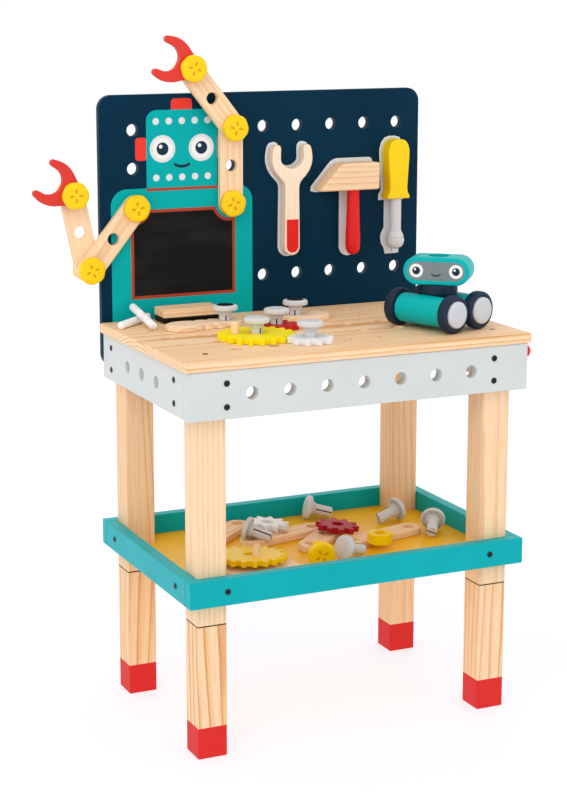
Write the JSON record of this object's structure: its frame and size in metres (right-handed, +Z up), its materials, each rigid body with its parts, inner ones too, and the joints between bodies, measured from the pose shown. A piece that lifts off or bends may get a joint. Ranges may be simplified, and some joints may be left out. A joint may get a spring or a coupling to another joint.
{
  "type": "toy workbench",
  "caption": "Wooden toy workbench with a perforated back panel, jointed arms, hanging tools, meshing gears, a small robot car and a tray between its legs.",
  "frame": {"origin": "on the floor, under the middle of the whole toy's bounding box; the middle of the four legs is 16.5 mm to its right (+X), because the raised arm on the left reaches out further than anything on the right", "axes": "+Z up, -Y towards the child in front of the bench, +X to the child's right"},
  "size_m": [0.6166, 0.3194, 0.8698],
  "materials": {
    "pine": "clear satin",
    "pale_paint": "satin paint",
    "navy_paint": "satin paint",
    "teal_paint": "satin paint",
    "red_paint": "satin paint",
    "yellow_plastic": "satin",
    "yellow_paint": "satin paint",
    "grey_plastic": "satin",
    "white_plastic": "satin",
    "navy_rubber": "matt",
    "black_felt": "felt"
  },
  "bodies": {
    "bench": {"bench_top": "pine", "apron_front": "pale_paint", "apron_left": "pale_paint", "apron_right": "pale_paint", "leg_front_left": "pine", "leg_back_left": "pine", "leg_front_right": "pine", "leg_back_right": "pine", "foot_front_left": "pine", "foot_back_left": "pine", "foot_front_right": "pine", "foot_back_right": "pine", "peg_panel": "navy_paint", "tray_rail_front": "teal_paint", "tray_rail_back": "teal_paint", "tray_rail_left": "teal_paint", "tray_rail_right": "teal_paint", "tray_floor": "yellow_paint", "left_shoulder_bolt": "yellow_plastic", "right_upper_arm": "pine", "right_shoulder_bolt": "yellow_plastic", "right_elbow_bolt": "yellow_plastic", "bolt_gear_yellow": "grey_plastic", "bolt_gear_white": "grey_plastic", "bolt_gear_red": "grey_plastic", "wooden_saw": "pine", "bolt_wooden_saw": "grey_plastic", "short_link": "pine", "bolt_short_link": "grey_plastic"},
    "left_upper_arm": {"left_upper_arm": "pine", "left_elbow_bolt": "yellow_plastic"},
    "left_forearm": {"left_forearm": "pine", "left_wrist_bolt": "yellow_plastic"},
    "left_claw": {"left_claw": "red_paint"},
    "right_forearm": {"right_forearm": "pine", "right_wrist_bolt": "yellow_plastic"},
    "right_claw": {"right_claw": "red_paint"},
    "wrench": {"wrench": "pine"},
    "hammer": {"hammer_head": "pine", "hammer_handle": "red_paint"},
    "screwdriver": {"screwdriver_handle": "yellow_plastic", "screwdriver_shaft": "grey_plastic"},
    "side_peg": {"side_peg": "red_paint"},
    "gear_yellow": {"gear_yellow": "yellow_plastic", "crank_peg": "pine"},
    "gear_red": {"gear_red": "red_paint"},
    "gear_white": {"gear_white": "white_plastic"},
    "eraser": {"eraser_block": "pine", "eraser_felt": "black_felt"},
    "car": {"car_chassis": "teal_paint", "car_neck": "navy_paint"},
    "car_head": {"car_head": "teal_paint"},
    "car_wheel_front_left": {"wheel_front_left": "navy_rubber", "cap_front_left": "grey_plastic"},
    "car_wheel_front_right": {"wheel_front_right": "navy_rubber", "cap_front_right": "grey_plastic"},
    "car_wheel_rear_left": {"wheel_rear_left": "navy_rubber", "cap_rear_left": "grey_plastic"},
    "car_wheel_rear_right": {"wheel_rear_right": "navy_rubber", "cap_rear_right": "grey_plastic"}
  },
  "joints": [
    {"name": "left_shoulder", "type": "hinge", "parent": "bench", "child": "left_upper_arm", "pos_m": [-0.1708, 0.129, 0.649], "axis": [0, -1, 0], "range_deg": [-25, 0]},
    {"name": "left_elbow", "type": "hinge", "parent": "left_upper_arm", "child": "left_forearm", "pos_m": [-0.2336, 0.1383, 0.57118], "axis": [0, -1, 0], "range_deg": [0, 120]},
    {"name": "left_wrist", "type": "hinge", "parent": "left_forearm", "child": "left_claw", "pos_m": [-0.25388, 0.129, 0.6691], "axis": [0, -1, 0], "range_deg": [-60, 60]},
    {"name": "right_elbow", "type": "hinge", "parent": "bench", "child": "right_forearm", "pos_m": [-0.0355, 0.1197, 0.749], "axis": [0, -1, 0], "range_deg": [-70, 60]},
    {"name": "right_wrist", "type": "hinge", "parent": "right_forearm", "child": "right_claw", "pos_m": [-0.09748, 0.1104, 0.82748], "axis": [0, -1, 0], "range_deg": [-60, 60]},
    {"name": "wrench_pull", "type": "slide", "parent": "bench", "child": "wrench", "axis": [0, -1, 0], "range_m": [0, 0.05]},
    {"name": "hammer_pull", "type": "slide", "parent": "bench", "child": "hammer", "axis": [0, -1, 0], "range_m": [0, 0.05]},
    {"name": "screwdriver_pull", "type": "slide", "parent": "bench", "child": "screwdriver", "axis": [0, -1, 0], "range_m": [0, 0.05]},
    {"name": "side_peg_pull", "type": "slide", "parent": "bench", "child": "side_peg", "axis": [1, 0, 0], "range_m": [0, 0.012]},
    {"name": "eraser_lift", "type": "slide", "parent": "bench", "child": "eraser", "axis": [0, 0, 1], "range_m": [0, 0.05]},
    {"name": "gear_yellow_spin", "type": "hinge", "parent": "bench", "child": "gear_yellow", "pos_m": [-0.0795, -0.0492, 0.504], "axis": [0, 0, 1], "continuous": true},
    {"name": "gear_red_spin", "type": "hinge", "parent": "bench", "child": "gear_red", "pos_m": [-0.0295, 0.0008, 0.504], "axis": [0, 0, 1], "continuous": true},
    {"name": "gear_white_spin", "type": "hinge", "parent": "bench", "child": "gear_white", "pos_m": [-0.0295, -0.0992, 0.504], "axis": [0, 0, 1], "continuous": true},
    {"name": "car_roll", "type": "slide", "parent": "bench", "child": "car", "axis": [-0.9397, -0.342, 0], "range_m": [-0.01, 0.045]},
    {"name": "car_head_swivel", "type": "hinge", "parent": "car", "child": "car_head", "pos_m": [0.1674, -0.0694, 0.5568], "axis": [0, 0, 1], "continuous": true},
    {"name": "car_wheel_front_left_spin", "type": "hinge", "parent": "car", "child": "car_wheel_front_left", "pos_m": [0.15948, -0.11985, 0.5249], "axis": [0.342, -0.9397, 0], "continuous": true},
    {"name": "car_wheel_front_right_spin", "type": "hinge", "parent": "car", "child": "car_wheel_front_right", "pos_m": [0.1289, -0.03584, 0.5249], "axis": [0.342, -0.9397, 0], "continuous": true},
    {"name": "car_wheel_rear_left_spin", "type": "hinge", "parent": "car", "child": "car_wheel_rear_left", "pos_m": [0.2059, -0.10296, 0.5249], "axis": [0.342, -0.9397, 0], "continuous": true},
    {"name": "car_wheel_rear_right_spin", "type": "hinge", "parent": "car", "child": "car_wheel_rear_right", "pos_m": [0.17532, -0.01895, 0.5249], "axis": [0.342, -0.9397, 0], "continuous": true}
  ],
  "couplings": [
    {"joint": "gear_red_spin", "follows": "gear_yellow_spin", "ratio": -2},
    {"joint": "gear_white_spin", "follows": "gear_yellow_spin", "ratio": -2},
    {"joint": "car_wheel_front_left_spin", "follows": "car_roll", "rad_per_m": 41.152},
    {"joint": "car_wheel_front_right_spin", "follows": "car_roll", "rad_per_m": 41.152},
    {"joint": "car_wheel_rear_left_spin", "follows": "car_roll", "rad_per_m": 41.152},
    {"joint": "car_wheel_rear_right_spin", "follows": "car_roll", "rad_per_m": 41.152}
  ]
}
